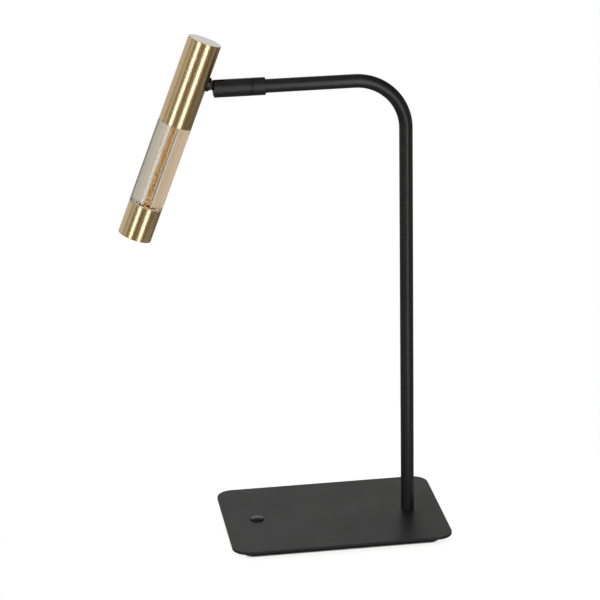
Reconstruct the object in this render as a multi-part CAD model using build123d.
from build123d import *
import math
import os

# Reading lamp for a table: a flat steel base, a bent tube for stem and arm, a knuckle that
# swivels on the arm and tilts, and a slim round head of brass and clear acrylic.
# Millimetres. The origin is the middle of the face the lamp rests on, +X runs from the button
# to the stem, the arm reaches back along -X, +Y is the rear, and +Z is up.

os.makedirs("parts", exist_ok=True)

# Base plate, and the tray under it
plate_length = 200.0
plate_width = 140.0
plate_thickness = 2.5
plate_corner_radius = 15.0
plate_edge_round = 0.6
tray_inset = 12.0
tray_wall = 1.2
tray_corner_radius = 8.0
tray_edge_round = 0.8
pad_thickness = 1.0
pad_inset = 1.5
pad_hole_radius = 4.0

# Screws that hold the tray, and the bosses welded under the plate for them
boss_radius = 3.5
boss_inset = 10.0
boss_floor_gap = 0.1
boss_hole_past_screw = 0.6
tray_screw_radius = 1.45
tray_screw_length = 4.8
screw_socket_size = 2.0
screw_socket_depth = 0.7

# Ballast that weighs the base down
ballast_thickness = 3.5
ballast_wall_gap = 0.8
ballast_part_gap = 2.0
lead_channel_width = 6.0

# Stem and arm, one bent tube
tube_radius = 6.0
tube_wall = 1.2
stem_from_right_edge = 30.0
arm_height = 418.0
arm_reach = 162.4
bend_radius = 45.0

# Fixing of the stem: ferrule, washer and nut
ferrule_length = 12.0
ferrule_chamfer = 0.6
ferrule_thread_radius = 4.0
ferrule_bore_radius = 2.5
stem_washer_radius = 8.0
stem_washer_thickness = 0.8
stem_nut_flats = 13.0
stem_nut_height = 2.4

# Swivel: the collar on the arm, the spigot in it, the ring and the stop pin
collar_wall = 1.8
collar_length = 10.7
collar_socket_depth = 4.6
spigot_thread_radius = 3.5
spigot_radius = 4.5
spigot_end_gap = 0.6
spigot_end_chamfer = 0.4
spigot_bore_radius = 1.6
ring_width = 1.9
stop_pin_radius = 0.7
stop_pin_depth_each_way = 2.0
stop_groove_spare_deg = 1.0
swivel_limit_deg = 165.0

# Sleeve with the slot for the tongue
sleeve_length = 32.5
sleeve_end_chamfer = 0.5
sleeve_seam_chamfer = 0.25
slot_width = 6.0
slot_end_gap = 0.3
sleeve_web = 6.0
sleeve_wire_hole_radius = 1.4
sleeve_wire_hole_rise = 2.9
grub_screw_radius = 1.45
grub_groove_depth = 0.9
grub_groove_width = 3.3
grub_screw_from_seam = 9.4
grub_tip_gap = 0.15
grub_socket_size = 1.5

# Tilt pivot
pivot_from_sleeve_end = 6.2
pivot_screw_radius = 1.5
pivot_head_radius = 2.1
pivot_head_height = 1.5
pivot_recess = 0.2
friction_washer_thickness = 0.8
friction_washer_radius = 3.2

# Tongue, and the stud that carries the head
tongue_eye_radius = 3.4
neck_flare_half = 5.2
neck_flare_length = 2.0
tongue_wire_slot_width = 2.4
stud_radius = 3.5
stud_bore_radius = 1.6
stud_nut_flats = 11.0
stud_nut_height = 2.5
stud_end_past_nut = 0.6
flange_radius = 6.2
flange_thickness = 1.9
flange_edge_round = 0.4
flange_swing_gap = 0.3

# Head, whose top leans towards the stem at rest
head_tilt_deg = 21.4
head_radius = 15.0
head_wall = 1.5
head_top_above_pivot = 35.5
head_edge_round = 0.4
upper_tube_length = 77.0
upper_tube_end_thickness = 2.0
clear_length = 77.0
clear_spigot_radius = 7.0
clear_spigot_length = 3.0
clear_bore_radius = 3.8
clear_edge_chamfer = 0.2
lower_ring_length = 30.0
copper_lead_radius = 0.95

# Light unit in the lower ring
spreader_thickness = 10.0
spreader_hole_radius = 2.6
led_board_thickness = 1.2
led_board_radius = 12.5
led_radius = 3.0
led_height = 0.8
lens_holder_wall = 1.2
lens_holder_length = 12.6
lens_height = 11.2
lens_flange_thickness = 1.4
lens_top_radius = 5.0
lens_cavity_depth = 4.5
bezel_width = 2.6
bezel_thickness = 2.4

lens_cavity_gap = 0.5
lens_bulge_share = 0.4

# Driver in the upper tube
driver_board_thickness = 1.2
driver_board_hole_radius = 2.2
driver_parts_circle_radius = 8.2
driver_parts_spread_deg = 65.0
driver_coil_radius = 3.8
driver_coil_height = 5.0
driver_capacitor_radius = 3.1
driver_capacitor_height = 7.7
driver_chip_size = 4.0
driver_chip_height = 1.1
driver_socket_depth = 5.0
driver_socket_width = 8.0
driver_socket_height = 3.0

# Dimmer board and push button in the base
button_from_left_edge = 30.0
button_radius = 5.95
button_rise = 1.7
button_travel = 0.7
button_dish_depth = 0.5
button_edge_round = 0.35
button_flange_radius = 7.0
button_flange_thickness = 0.75
button_plate_gap = 0.15
button_boss_radius = 2.5
button_boss_height = 0.1
plunger_radius = 1.7
plunger_length = 1.1
switch_width = 6.0
board_length = 44.0
board_width = 28.0
board_thickness = 1.2
board_corner_radius = 1.0
board_wall_gap = 2.8
board_spacer_height = 0.8
board_spacer_radius = 2.5
board_screw_radius = 1.1
board_screw_head_radius = 2.2
board_screw_head_height = 1.2
board_hole_inset = 3.0
socket_length = 5.0
socket_width = 8.0
socket_height = 2.6
controller_size = 5.0
controller_height = 1.0
power_chip_size = 6.0
power_chip_height = 1.6
choke_size = 6.0
choke_height = 2.4
choke_corner_radius = 1.5
choke_socket_gap = 1.0
capacitor_radius = 2.3
capacitor_height = 2.6
resistor_length = 1.6
resistor_width = 0.8
resistor_height = 0.5
resistor_pitch = 2.5
resistor_count = 4

# Leads, and the way in for the supply cord
lead_radius = 0.95
lead_floor_gap = 0.05
lead_nut_gap = 0.15
lead_turn_radius = 3.0
lead_climb_radius = 10.0
lead_climb_run = 16.0
cord_hole_radius = 1.8
grommet_width = 8.0
grommet_flange = 1.2
grommet_lip = 1.0
grommet_lip_round = 1.0

# Clearances between pieces that fit
running_gap = 0.05
hole_gap = 0.1
button_hole_gap = 0.2

# Heights in the base: what is stacked under the plate at the stem's nut sets them
tray_floor_top = pad_thickness + tray_wall
lead_low_z = tray_floor_top + lead_floor_gap + lead_radius
ferrule_bottom = lead_low_z + lead_radius + lead_nut_gap
plate_underside = ferrule_bottom + stem_nut_height + stem_washer_thickness
base_height = plate_underside + plate_thickness
board_bottom = tray_floor_top + board_spacer_height
board_top = board_bottom + board_thickness
button_flange_top = plate_underside - button_plate_gap
button_flange_low = button_flange_top - button_flange_thickness
plunger_top = button_flange_low - button_boss_height
plunger_low = plunger_top - plunger_length
switch_top = plunger_top - button_travel

# Places in the base
tray_length = plate_length - 2 * tray_inset
tray_width = plate_width - 2 * tray_inset
tray_rear_y = tray_width / 2
stem_x = plate_length / 2 - stem_from_right_edge
button_x = button_from_left_edge - plate_length / 2
grommet_x = button_x
board_left_x = tray_wall + board_wall_gap - tray_length / 2
board_right_x = board_left_x + board_length
board_middle_x = board_left_x + board_length / 2
tray_screw_head_radius = tray_screw_radius + tray_wall


def four_corners(half_length, half_width, middle_x=0.0):
    """Centres of four things set at the corners of a rectangle."""
    signs = ((-1, -1), (-1, 1), (1, -1), (1, 1))
    return [(middle_x + side_x * half_length, side_y * half_width) for side_x, side_y in signs]


tray_screw_spots = four_corners(tray_length / 2 - boss_inset, tray_width / 2 - boss_inset)
board_hole_spots = four_corners(
    board_length / 2 - board_hole_inset, board_width / 2 - board_hole_inset, board_middle_x
)

# Places along the arm, counted back from the tilt pivot
collar_radius = tube_radius + collar_wall
slot_depth = pivot_from_sleeve_end + tongue_eye_radius + slot_end_gap
spigot_reach = sleeve_length - slot_depth - sleeve_web - spigot_end_gap
pivot_x = stem_x - arm_reach
sleeve_end_x = pivot_x - pivot_from_sleeve_end
slot_end_x = sleeve_end_x + slot_depth
seam_x = sleeve_end_x + sleeve_length
collar_face_x = seam_x + ring_width
collar_end_x = collar_face_x + collar_length
tube_end_x = collar_end_x - collar_socket_depth
spigot_end_x = seam_x - spigot_reach
grub_x = seam_x - grub_screw_from_seam
stop_pin_circle_radius = (spigot_radius + collar_radius) / 2
tongue_half = slot_width / 2 - friction_washer_thickness
pivot_head_y = pivot_recess - collar_radius
pivot_head_seat_y = pivot_head_y + pivot_head_height

# Places in the head, in its own upright frame with the pivot at 0 and the stud along -X.
# The flange's face stays clear of the sleeve's end corner as the head swings round the pivot.
sleeve_corner_swing = math.hypot(pivot_from_sleeve_end - sleeve_end_chamfer, collar_radius)
stud_face_x = -sleeve_corner_swing - flange_swing_gap
head_side_x = stud_face_x - flange_thickness
head_axis_x = head_side_x - head_radius
head_bore_radius = head_radius - head_wall
fitted_radius = head_bore_radius - hole_gap
head_top = head_top_above_pivot
clear_top = head_top - upper_tube_length
ring_top = clear_top - clear_length
ring_bottom = ring_top - lower_ring_length
driver_board_bottom = clear_top + clear_spigot_length
driver_board_top = driver_board_bottom + driver_board_thickness
spreader_top = ring_top - clear_spigot_length
led_board_top = spreader_top - spreader_thickness
led_board_bottom = led_board_top - led_board_thickness
lens_holder_bottom = led_board_bottom - lens_holder_length
bezel_bottom = lens_holder_bottom - bezel_thickness

# The nut is flat and the tube is round inside, so the nut's corners meet the wall first
nut_corner_radius = stud_nut_flats / math.sqrt(3)
nut_seat_depth = head_bore_radius - math.sqrt(head_bore_radius**2 - nut_corner_radius**2)
nut_face_x = head_side_x - head_wall - nut_seat_depth - running_gap
stud_end_x = nut_face_x - stud_nut_height - stud_end_past_nut
head_lead_drop_x = stud_end_x - lead_turn_radius


def write(node, shape):
    """Write one sub-part under its node name."""
    export_step(shape, f"parts/{node}.step")


def disc(radius, low, high, x=0.0, y=0.0):
    """Round bar standing upright between two heights."""
    return Pos(x, y, low) * extrude(Circle(radius), amount=high - low)


def slab(length, width, corner, low, high):
    """Flat plate with round corners, centred on the Z axis."""
    return Pos(0, 0, low) * extrude(RectangleRounded(length, width, corner), amount=high - low)


def block(x_low, x_high, y_low, y_high, z_low, z_high):
    """Rectangular block between its limits."""
    middle = Pos((x_low + x_high) / 2, (y_low + y_high) / 2, (z_low + z_high) / 2)
    return middle * Box(x_high - x_low, y_high - y_low, z_high - z_low)


def x_bar(radius, x_low, x_high, y=0.0, z=0.0):
    """Round bar lying along X."""
    return Pos(x_low, y, z) * Rot(0, 90, 0) * extrude(Circle(radius), amount=x_high - x_low)


def y_bar(radius, y_low, y_high, x=0.0, z=0.0):
    """Round bar lying along Y."""
    return Pos(x, y_low, z) * Rot(-90, 0, 0) * extrude(Circle(radius), amount=y_high - y_low)


def hexagon(flats, height):
    """Hexagonal prism on the XY plane, measured across its flats."""
    return extrude(RegularPolygon(flats / 2, 6, major_radius=False), amount=height)


def turned(*outline):
    """Solid turned about Z from a half outline of (radius, height) corners."""
    return revolve(Plane.XZ * make_face(Polyline(*outline, close=True)), Axis.Z)


def swept_round(radius, route):
    """Round bar swept along a route that starts along its first edge."""
    start = route @ 0
    section = Plane(origin=start, z_dir=route % 0) * Circle(radius)
    return sweep(section, path=route)


def on_arm(shape):
    """Lift a shape made about the X axis up to the arm's axis."""
    return Pos(0, 0, arm_height) * shape


def in_head(shape):
    """Place a shape from the head's own upright frame at the tilted pivot."""
    return Pos(pivot_x, 0, arm_height) * Rot(0, head_tilt_deg, 0) * shape


def on_head_axis(shape):
    """Move a shape made about the Z axis onto the head's axis, then into place."""
    return in_head(Pos(head_axis_x, 0, 0) * shape)


# Base: plate, tray, pad, ballast and what fastens them

def make_top_plate():
    """Steel plate with rounded corners, with the holes for the button and the stem."""
    plate = slab(plate_length, plate_width, plate_corner_radius, plate_underside, base_height)
    plate = fillet(plate.edges().group_by(Axis.Z)[-1], plate_edge_round)
    plate -= disc(button_radius + button_hole_gap, plate_underside, base_height, button_x)
    plate -= disc(ferrule_thread_radius + hole_gap, plate_underside, base_height, stem_x)
    return plate


def make_bottom_tray():
    """Pressed tray that closes the base from below, open at the top."""
    tray = slab(tray_length, tray_width, tray_corner_radius, pad_thickness, plate_underside)
    tray = fillet(tray.edges().group_by(Axis.Z)[0], tray_edge_round)
    tray -= slab(
        tray_length - 2 * tray_wall,
        tray_width - 2 * tray_wall,
        tray_corner_radius - tray_wall,
        tray_floor_top,
        plate_underside,
    )
    for x, y in tray_screw_spots:
        tray -= Pos(x, y, 0) * countersunk_form(hole_gap)
    for x, y in board_hole_spots:
        tray -= disc(board_screw_radius + running_gap, pad_thickness, tray_floor_top, x, y)
    half = grommet_width / 2
    tray -= block(
        grommet_x - half, grommet_x + half,
        tray_rear_y - tray_wall, tray_rear_y,
        tray_floor_top, plate_underside,
    )
    return tray


def countersunk_form(gap):
    """Countersunk screw through the tray floor, or the hole for it with a gap all round."""
    head = tray_screw_head_radius + gap
    shank = tray_screw_radius + gap
    top = pad_thickness + tray_screw_length
    return turned(
        (0, pad_thickness), (head, pad_thickness), (shank, tray_floor_top), (shank, top), (0, top)
    )


def make_tray_screws():
    """Four countersunk screws from below, each with a hexagon socket."""
    screws = []
    for x, y in tray_screw_spots:
        screw = countersunk_form(0.0)
        screw -= Pos(0, 0, pad_thickness) * hexagon(screw_socket_size, screw_socket_depth)
        screws.append(Pos(x, y, 0) * screw)
    return Compound(screws)


def make_plate_bosses():
    """Four bosses welded under the plate, with blind holes that take the tray's screws."""
    bosses = []
    low = tray_floor_top + boss_floor_gap
    hole_end = pad_thickness + tray_screw_length + boss_hole_past_screw
    for x, y in tray_screw_spots:
        boss = disc(boss_radius, low, plate_underside, x, y)
        boss -= disc(tray_screw_radius + running_gap, low, hole_end, x, y)
        bosses.append(boss)
    return Compound(bosses)


def make_floor_pad():
    """Soft sheet glued under the tray, cut out over the screws."""
    pad = slab(
        tray_length - 2 * pad_inset,
        tray_width - 2 * pad_inset,
        tray_corner_radius - pad_inset,
        0,
        pad_thickness,
    )
    for x, y in tray_screw_spots:
        pad -= disc(pad_hole_radius, 0, pad_thickness, x, y)
    return pad


def make_ballast_plate():
    """Steel weight on the tray floor, cut out round the board, the bosses, the nut and the leads."""
    top = tray_floor_top + ballast_thickness
    inside = 2 * (tray_wall + ballast_wall_gap)
    length = tray_length - inside
    width = tray_width - inside
    ballast = slab(length, width, tray_corner_radius - tray_wall, tray_floor_top, top)
    board_side = board_width / 2 + ballast_part_gap
    board_end = board_right_x + ballast_part_gap
    ballast -= block(-length / 2, board_end, -board_side, board_side, tray_floor_top, top)
    ballast -= block(-length / 2, board_end, 0, width / 2, tray_floor_top, top)
    half = lead_channel_width / 2
    ballast -= block(board_end, stem_x, -half, half, tray_floor_top, top)
    nut_pocket_radius = stem_nut_flats / math.sqrt(3) + ballast_part_gap
    ballast -= disc(nut_pocket_radius, tray_floor_top, top, stem_x)
    for x, y in tray_screw_spots:
        ballast -= disc(boss_radius + ballast_part_gap / 2, tray_floor_top, top, x, y)
    return ballast


# Dimmer board, switch and button

def make_dimmer_board():
    """Circuit board that switches and dims the light."""
    board = slab(board_length, board_width, board_corner_radius, board_bottom, board_top)
    board = Pos(board_middle_x, 0, 0) * board
    for x, y in board_hole_spots:
        board -= disc(board_screw_radius + hole_gap, board_bottom, board_top, x, y)
    return board


def make_board_spacers():
    """Four short spacers between the tray floor and the board."""
    rings = []
    for x, y in board_hole_spots:
        ring = disc(board_spacer_radius, tray_floor_top, board_bottom, x, y)
        ring -= disc(board_screw_radius + hole_gap, tray_floor_top, board_bottom, x, y)
        rings.append(ring)
    return Compound(rings)


def make_board_screws():
    """Four pan-headed screws through the board and its spacers into the tray floor."""
    screws = []
    for x, y in board_hole_spots:
        head = disc(board_screw_head_radius, board_top, board_top + board_screw_head_height, x, y)
        head = fillet(head.edges().group_by(Axis.Z)[-1], board_screw_head_height / 2)
        screws.append(head + disc(board_screw_radius, pad_thickness, board_top, x, y))
    return Compound(screws)


def make_tact_switch():
    """Small push switch on the board, with the well that its plunger moves in."""
    half = switch_width / 2
    switch = block(button_x - half, button_x + half, -half, half, board_top, switch_top)
    well_floor = plunger_low - button_travel - hole_gap
    return switch - disc(plunger_radius + hole_gap, well_floor, switch_top, button_x)


def standing_block(x, y, length, width, height, base):
    """Rectangular part centred over a point and standing on a board."""
    return block(x - length / 2, x + length / 2, y - width / 2, y + width / 2, base, base + height)


def make_dimmer_parts():
    """Chips, choke, capacitor and resistors soldered to the dimmer board."""
    column_x = (button_x + board_right_x) / 2
    far_x = board_right_x - socket_length - choke_size / 2
    edge_y = board_width / 2
    controller = standing_block(
        column_x, edge_y - controller_size, controller_size, controller_size, controller_height, board_top
    )
    power_chip = standing_block(
        column_x, power_chip_size - edge_y, power_chip_size, power_chip_size, power_chip_height, board_top
    )
    choke = standing_block(
        far_x, socket_width / 2 + choke_size / 2 + choke_socket_gap, choke_size, choke_size, choke_height, board_top
    )
    choke = fillet(choke.edges().filter_by(Axis.Z), choke_corner_radius)
    capacitor = disc(capacitor_radius, board_top, board_top + capacitor_height, column_x)
    parts = [controller, power_chip, choke, capacitor]
    resistor_x = button_x - switch_width - resistor_length
    for index in range(resistor_count):
        y = (index - (resistor_count - 1) / 2) * resistor_pitch
        parts.append(
            standing_block(resistor_x, y, resistor_length, resistor_width, resistor_height, board_top)
        )
    return Compound(parts)


def make_lead_socket():
    """Socket at the board's inner edge that the lamp lead goes into."""
    half = socket_width / 2
    return block(
        board_right_x - socket_length, board_right_x,
        -half, half,
        board_top, board_top + socket_height,
    )


def make_supply_socket():
    """Socket at the board's rear edge, in line with the way in for the supply cord."""
    half = socket_width / 2
    rear = board_width / 2
    return block(
        grommet_x - half, grommet_x + half,
        rear - socket_length, rear,
        board_top, board_top + socket_height,
    )


def make_button_cap():
    """Push button with a dished top, and a flange that holds it under the plate."""
    cap_top = base_height + button_rise
    cap = disc(button_radius, button_flange_low, cap_top)
    cap = fillet(cap.edges().group_by(Axis.Z)[-1], button_edge_round)
    cap += disc(button_flange_radius, button_flange_low, button_flange_top)
    rim = button_radius - 2 * button_edge_round
    dish_radius = (rim**2 + button_dish_depth**2) / (2 * button_dish_depth)
    cap -= Pos(0, 0, cap_top - button_dish_depth + dish_radius) * Sphere(dish_radius)
    cap += disc(button_boss_radius, plunger_top, button_flange_low)
    return Pos(button_x, 0, 0) * cap


def make_switch_plunger():
    """Plunger of the push switch, which moves with the button."""
    return disc(plunger_radius, plunger_low, plunger_top, button_x)


def make_cord_grommet():
    """Rubber block in the tray's rear wall, with a lip on each side and a hole for the cord."""
    low = tray_floor_top + hole_gap
    high = plate_underside - hole_gap
    middle_z = (low + high) / 2
    half = grommet_width / 2 - hole_gap
    lip_half = grommet_width / 2 + grommet_lip
    inner_y = tray_rear_y - tray_wall - grommet_flange
    outer_y = tray_rear_y + grommet_flange
    grommet = block(grommet_x - half, grommet_x + half, inner_y, outer_y, low, high)
    for y_low, y_high in ((inner_y, tray_rear_y - tray_wall), (tray_rear_y, outer_y)):
        lip = block(grommet_x - lip_half, grommet_x + lip_half, y_low, y_high, low, high)
        grommet += fillet(lip.edges().filter_by(Axis.Y), grommet_lip_round)
    return grommet - y_bar(cord_hole_radius, inner_y, outer_y, grommet_x, middle_z)


# Stem and arm

def make_stem_tube():
    """Tube that stands on the plate, bends once and becomes the arm."""
    foot = (stem_x, 0, base_height)
    corner = (stem_x, 0, arm_height)
    end = (tube_end_x, 0, arm_height)
    route = FilletPolyline(foot, corner, end, radius=bend_radius)
    outside = swept_round(tube_radius, route)
    inside = swept_round(tube_radius - tube_wall, route)
    return outside - inside


def make_stem_ferrule():
    """Turned insert brazed in the foot of the tube, with a thread below the plate."""
    body_radius = tube_radius - tube_wall - running_gap
    top = base_height + ferrule_length
    return Pos(stem_x, 0, 0) * turned(
        (ferrule_bore_radius, ferrule_bottom),
        (ferrule_thread_radius, ferrule_bottom),
        (ferrule_thread_radius, base_height),
        (body_radius, base_height),
        (body_radius, top - ferrule_chamfer),
        (body_radius - ferrule_chamfer, top),
        (ferrule_bore_radius, top),
    )


def make_stem_washer():
    """Washer between the plate and the stem's nut."""
    low = plate_underside - stem_washer_thickness
    ring = disc(stem_washer_radius, low, plate_underside)
    return Pos(stem_x, 0, 0) * (ring - disc(ferrule_thread_radius + hole_gap, low, plate_underside))


def make_stem_nut():
    """Thin hexagon nut that clamps the stem to the plate."""
    nut = hexagon(stem_nut_flats, stem_nut_height)
    nut -= disc(ferrule_thread_radius + running_gap, 0, stem_nut_height)
    return Pos(stem_x, 0, ferrule_bottom) * nut


def make_stem_lead():
    """Two-core lead from the dimmer board up the stem and along the arm to the swivel."""
    socket_z = board_top + socket_height / 2
    climb_start_x = board_right_x + lead_climb_run / 2
    route = FilletPolyline(
        (board_right_x, 0, socket_z),
        (climb_start_x, 0, socket_z),
        (climb_start_x + lead_climb_run, 0, lead_low_z),
        (stem_x, 0, lead_low_z),
        (stem_x, 0, arm_height),
        (spigot_end_x, 0, arm_height),
        radius=[lead_climb_radius, lead_climb_radius, lead_turn_radius, bend_radius],
    )
    return swept_round(lead_radius, route)


# Swivel at the end of the arm

def make_arm_collar():
    """Collar brazed on the end of the arm, with a tapped web for the spigot."""
    collar = x_bar(collar_radius, collar_face_x, collar_end_x)
    collar = chamfer(collar.edges().filter_by(GeomType.CIRCLE), sleeve_seam_chamfer)
    collar -= x_bar(tube_radius + running_gap, tube_end_x, collar_end_x)
    collar -= x_bar(spigot_thread_radius + running_gap, collar_face_x, tube_end_x)
    pin_end = collar_face_x + stop_pin_depth_each_way
    collar -= x_bar(stop_pin_radius + running_gap, collar_face_x, pin_end, z=-stop_pin_circle_radius)
    return on_arm(collar)


def make_swivel_spigot():
    """Hollow spigot that the sleeve turns on, with a groove for the grub screw."""
    journal = x_bar(spigot_radius, spigot_end_x, collar_face_x)
    journal = chamfer(journal.edges().group_by(Axis.X)[0], spigot_end_chamfer)
    spigot = journal + x_bar(spigot_thread_radius, collar_face_x, tube_end_x)
    half = grub_groove_width / 2
    groove = x_bar(spigot_radius, grub_x - half, grub_x + half)
    groove -= x_bar(spigot_radius - grub_groove_depth, grub_x - half, grub_x + half)
    spigot -= groove
    spigot -= x_bar(spigot_bore_radius, spigot_end_x, tube_end_x)
    return on_arm(spigot)


def make_swivel_ring():
    """Slippery ring between the collar and the sleeve."""
    ring = x_bar(collar_radius, seam_x, collar_face_x)
    ring = chamfer(ring.edges().filter_by(GeomType.CIRCLE), sleeve_seam_chamfer)
    ring -= x_bar(spigot_radius + running_gap, seam_x, collar_face_x)
    ring -= x_bar(stop_pin_radius + running_gap, seam_x, collar_face_x, z=-stop_pin_circle_radius)
    return on_arm(ring)


def make_stop_pin():
    """Pin that holds the ring still and stops the sleeve before a full turn."""
    low = seam_x - stop_pin_depth_each_way + 2 * running_gap
    high = collar_face_x + stop_pin_depth_each_way - 2 * running_gap
    return on_arm(x_bar(stop_pin_radius, low, high, z=-stop_pin_circle_radius))


def stop_groove():
    """Arc groove in the sleeve's end face that the stop pin runs in, broken by one land on top."""
    width = 2 * (stop_pin_radius + hole_gap)
    outer = stop_pin_circle_radius + width / 2
    inner = stop_pin_circle_radius - width / 2
    low = seam_x - stop_pin_depth_each_way
    groove = x_bar(outer, low, seam_x) - x_bar(inner, low, seam_x)
    pin_half_deg = math.degrees(math.asin(stop_pin_radius / stop_pin_circle_radius))
    land_half_deg = 180 - swivel_limit_deg - pin_half_deg - stop_groove_spare_deg
    reach = 2 * collar_radius
    lean = reach * math.tan(math.radians(land_half_deg))
    wedge = Plane.YZ.offset(low) * make_face(Polyline((0, 0), (lean, reach), (-lean, reach), close=True))
    return groove - extrude(wedge, amount=stop_pin_depth_each_way)


def make_swivel_sleeve():
    """Sleeve that turns on the spigot, slotted at its free end for the tongue."""
    sleeve = x_bar(collar_radius, sleeve_end_x, seam_x)
    sleeve = chamfer(sleeve.edges().group_by(Axis.X)[0], sleeve_end_chamfer)
    sleeve = chamfer(sleeve.edges().group_by(Axis.X)[-1], sleeve_seam_chamfer)
    bore_end = spigot_end_x - spigot_end_gap
    sleeve -= x_bar(spigot_radius + running_gap, bore_end, seam_x)
    sleeve -= x_bar(sleeve_wire_hole_radius, slot_end_x, bore_end, z=sleeve_wire_hole_rise)
    half = slot_width / 2
    sleeve -= block(sleeve_end_x, slot_end_x, -half, half, -collar_radius, collar_radius)
    sleeve -= y_bar(pivot_screw_radius + running_gap, -collar_radius, collar_radius, pivot_x)
    sleeve -= y_bar(pivot_head_radius + hole_gap, -collar_radius, pivot_head_seat_y, pivot_x)
    sleeve -= y_bar(grub_screw_radius + running_gap, 0, collar_radius, grub_x)
    sleeve -= stop_groove()
    return on_arm(sleeve)


def make_pivot_screw():
    """Cap screw through both cheeks and the tongue, sunk flush at the front."""
    screw = y_bar(pivot_head_radius, pivot_head_y, pivot_head_seat_y)
    screw += y_bar(pivot_screw_radius, pivot_head_seat_y, collar_radius - pivot_recess)
    socket = Rot(-90, 0, 0) * hexagon(screw_socket_size, screw_socket_depth)
    screw -= Pos(0, pivot_head_y, 0) * socket
    return on_arm(Pos(pivot_x, 0, 0) * screw)


def make_friction_washers():
    """Two thin washers in the slot that hold the head where it is put."""
    washers = []
    for low in (-slot_width / 2, tongue_half):
        high = low + friction_washer_thickness
        washer = y_bar(friction_washer_radius, low, high, pivot_x)
        washer -= y_bar(pivot_screw_radius + running_gap, low, high, pivot_x)
        washers.append(on_arm(washer))
    return Compound(washers)


def make_grub_screw():
    """Grub screw in the rear of the sleeve, whose point runs in the spigot's groove."""
    tip_y = spigot_radius - grub_groove_depth + grub_tip_gap
    head_y = collar_radius - pivot_recess
    screw = y_bar(grub_screw_radius, tip_y, head_y)
    screw -= Pos(0, head_y, 0) * Rot(90, 0, 0) * hexagon(grub_socket_size, screw_socket_depth)
    return on_arm(Pos(grub_x, 0, 0) * screw)


# Head, made upright about the pivot

def make_hinge_tongue():
    """Flat tongue with a round eye, flared where it meets the hollow stud into the head."""
    eye = y_bar(tongue_eye_radius, -tongue_half, tongue_half)
    neck = block(stud_face_x, 0, -tongue_half, tongue_half, -tongue_eye_radius, tongue_eye_radius)
    flare_end_x = stud_face_x + neck_flare_length
    flare_outline = Polyline(
        (stud_face_x, -neck_flare_half),
        (stud_face_x, neck_flare_half),
        (flare_end_x, tongue_eye_radius),
        (flare_end_x, -tongue_eye_radius),
        close=True,
    )
    flare = extrude(Plane.XZ * make_face(flare_outline), tongue_half, both=True)
    tongue = eye + neck + flare + x_bar(stud_radius, stud_end_x, stud_face_x)
    bore_end = stud_face_x + tongue_wire_slot_width / 2
    tongue -= x_bar(stud_bore_radius, stud_end_x, bore_end)
    half = tongue_wire_slot_width / 2
    tongue -= block(stud_face_x, bore_end + half, -half, half, 0, neck_flare_half)
    tongue -= y_bar(pivot_screw_radius + running_gap, -tongue_half, tongue_half)
    return in_head(tongue)


def make_stud_flange():
    """Round flange hollowed on one side to sit on the round head."""
    seat = head_radius - math.sqrt(head_radius**2 - flange_radius**2)
    flange = x_bar(flange_radius, head_side_x - seat, stud_face_x)
    flange = fillet(flange.edges().group_by(Axis.X)[-1], flange_edge_round)
    flange -= x_bar(stud_radius + hole_gap, head_side_x - seat, stud_face_x)
    flange -= disc(head_radius + running_gap, -2 * flange_radius, 2 * flange_radius, head_axis_x)
    return in_head(flange)


def make_stud_nut():
    """Thin nut inside the head that pulls the flange up against it."""
    nut_back_x = nut_face_x - stud_nut_height
    nut = Pos(nut_back_x, 0, 0) * Rot(0, 90, 0) * hexagon(stud_nut_flats, stud_nut_height)
    return in_head(nut - x_bar(stud_radius + running_gap, nut_back_x, nut_face_x))


def make_head_tube():
    """Upper brass tube, closed at the top, with a web below for the clear bar's spigot."""
    tube = disc(head_radius, clear_top, head_top)
    tube = fillet(tube.edges().group_by(Axis.Z)[-1], head_edge_round)
    tube -= disc(head_bore_radius, driver_board_bottom, head_top - upper_tube_end_thickness)
    tube -= disc(clear_spigot_radius + running_gap, clear_top, driver_board_bottom)
    tube = Pos(head_axis_x, 0, 0) * tube
    tube -= x_bar(stud_radius + hole_gap, head_axis_x, head_side_x)
    return in_head(tube)


def make_clear_cylinder():
    """Clear acrylic bar with a bore for the leads and a spigot at each end."""
    bar = disc(head_radius, ring_top, clear_top)
    bar = chamfer(bar.edges().filter_by(GeomType.CIRCLE), clear_edge_chamfer)
    bar += disc(clear_spigot_radius, spreader_top, driver_board_bottom)
    return on_head_axis(bar - disc(clear_bore_radius, spreader_top, driver_board_bottom))


def make_copper_leads():
    """Two copper strands side by side through the clear bar, from the driver to the light."""
    apart = copper_lead_radius + running_gap / 2
    strands = [
        on_head_axis(disc(copper_lead_radius, led_board_top, driver_board_top, side * apart))
        for side in (-1, 1)
    ]
    return Compound(strands)


def make_lower_ring():
    """Lower brass ring that holds the light unit, with a web above for the clear bar's spigot."""
    ring = disc(head_radius, ring_bottom, ring_top)
    ring = fillet(ring.edges().group_by(Axis.Z)[0], head_edge_round)
    ring -= disc(head_bore_radius, ring_bottom, spreader_top)
    return on_head_axis(ring - disc(clear_spigot_radius + running_gap, spreader_top, ring_top))


def make_driver_board():
    """Round circuit board resting on the clear bar's upper spigot."""
    board = disc(fitted_radius - hole_gap, driver_board_bottom, driver_board_top)
    return on_head_axis(board - disc(driver_board_hole_radius, driver_board_bottom, driver_board_top))


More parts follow.
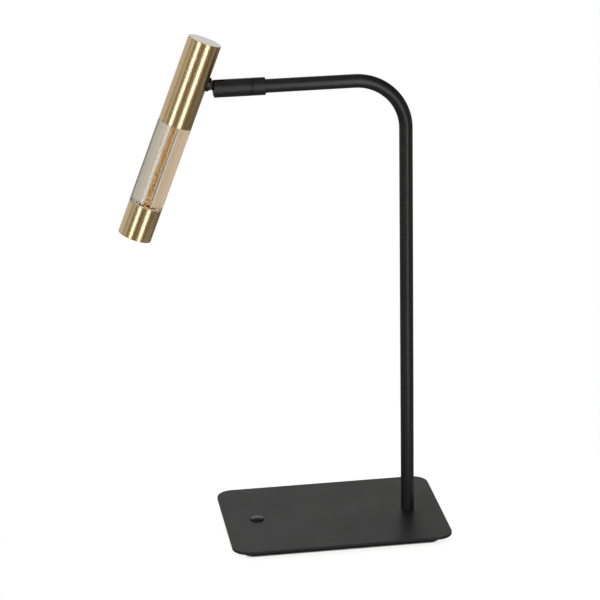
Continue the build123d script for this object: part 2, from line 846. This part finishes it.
def make_driver_parts():
    """Coil, capacitor and chip set round the driver board, and the socket below the lead."""
    floor = driver_board_top
    coil = disc(driver_coil_radius, floor, floor + driver_coil_height)
    capacitor = disc(driver_capacitor_radius, floor, floor + driver_capacitor_height)
    socket = standing_block(0, 0, driver_socket_depth, driver_socket_width, driver_socket_height, floor)
    chip = standing_block(0, 0, driver_chip_size, driver_chip_size, driver_chip_height, floor)
    parts = [Pos(head_lead_drop_x - head_axis_x, 0, 0) * socket]
    for place, part in enumerate((capacitor, chip, coil), start=-1):
        turn = Rot(0, 0, -place * driver_parts_spread_deg)
        parts.append(turn * Pos(-driver_parts_circle_radius, 0, 0) * part)
    return on_head_axis(Compound(parts))


def make_head_lead():
    """Lead from the hollow stud down to the socket on the driver board."""
    route = FilletPolyline(
        (stud_face_x, 0, 0),
        (head_lead_drop_x, 0, 0),
        (head_lead_drop_x, 0, driver_board_top + driver_socket_height),
        radius=lead_turn_radius,
    )
    return in_head(swept_round(lead_radius, route))


def make_heat_spreader():
    """Aluminium disc that takes the heat from the light board into the ring."""
    spreader = disc(fitted_radius, led_board_top, spreader_top)
    return on_head_axis(spreader - disc(spreader_hole_radius, led_board_top, spreader_top))


def make_led_board():
    """Round metal-cored board for the light source."""
    return on_head_axis(disc(led_board_radius, led_board_bottom, led_board_top))


def make_led_chip():
    """Flat round light source."""
    return on_head_axis(disc(led_radius, led_board_bottom - led_height, led_board_bottom))


def make_lens_holder():
    """Plastic tube between the light board and the bezel that centres the lens."""
    inner = fitted_radius - lens_holder_wall
    holder = disc(fitted_radius, lens_holder_bottom, led_board_bottom)
    return on_head_axis(holder - disc(inner, lens_holder_bottom, led_board_bottom))


def make_lens():
    """Collimating lens: a flared clear body over a cavity that the light source shines into."""
    rim = fitted_radius - lens_holder_wall - hole_gap
    low = lens_holder_bottom
    flange_high = low + lens_flange_thickness
    high = low + lens_height
    cavity = led_radius + lens_cavity_gap
    flare = rim - 2 * hole_gap
    bulge = lens_bulge_share * (high - flange_high)
    middle = ((flare + lens_top_radius + bulge) / 2, (flange_high + high - bulge) / 2)
    outline = Polyline((0, low), (rim, low), (rim, flange_high), (flare, flange_high))
    outline += ThreePointArc((flare, flange_high), middle, (lens_top_radius, high))
    outline += Polyline(
        (lens_top_radius, high),
        (cavity, high),
        (cavity, high - lens_cavity_depth),
        (0, high - lens_cavity_depth),
        (0, low),
    )
    return on_head_axis(revolve(Plane.XZ * make_face(outline), Axis.Z))


def make_bezel():
    """Retaining ring, sloped inside, that closes the light end."""
    inner = fitted_radius - bezel_width
    slope = bezel_width / 2
    ring = turned(
        (inner, lens_holder_bottom),
        (fitted_radius, lens_holder_bottom),
        (fitted_radius, bezel_bottom),
        (inner + slope, bezel_bottom),
    )
    return on_head_axis(ring)


makers = {
    "floor_pad": make_floor_pad,
    "bottom_tray": make_bottom_tray,
    "ballast_plate": make_ballast_plate,
    "top_plate": make_top_plate,
    "plate_bosses": make_plate_bosses,
    "tray_screws": make_tray_screws,
    "cord_grommet": make_cord_grommet,
    "dimmer_board": make_dimmer_board,
    "dimmer_parts": make_dimmer_parts,
    "board_spacers": make_board_spacers,
    "board_screws": make_board_screws,
    "tact_switch": make_tact_switch,
    "lead_socket": make_lead_socket,
    "supply_socket": make_supply_socket,
    "button_cap": make_button_cap,
    "switch_plunger": make_switch_plunger,
    "stem_tube": make_stem_tube,
    "stem_ferrule": make_stem_ferrule,
    "stem_washer": make_stem_washer,
    "stem_nut": make_stem_nut,
    "stem_lead": make_stem_lead,
    "arm_collar": make_arm_collar,
    "swivel_spigot": make_swivel_spigot,
    "swivel_ring": make_swivel_ring,
    "stop_pin": make_stop_pin,
    "swivel_sleeve": make_swivel_sleeve,
    "pivot_screw": make_pivot_screw,
    "friction_washers": make_friction_washers,
    "grub_screw": make_grub_screw,
    "hinge_tongue": make_hinge_tongue,
    "stud_flange": make_stud_flange,
    "stud_nut": make_stud_nut,
    "head_tube": make_head_tube,
    "clear_cylinder": make_clear_cylinder,
    "copper_leads": make_copper_leads,
    "lower_ring": make_lower_ring,
    "driver_board": make_driver_board,
    "driver_parts": make_driver_parts,
    "head_lead": make_head_lead,
    "heat_spreader": make_heat_spreader,
    "led_board": make_led_board,
    "led_chip": make_led_chip,
    "lens_holder": make_lens_holder,
    "lens": make_lens,
    "bezel": make_bezel,
}
for node, maker in makers.items():
    write(node, maker())

print(f"base {base_height:.2f} mm high, pivot at x {pivot_x:.2f}, head axis {-head_axis_x:.2f} mm from it")
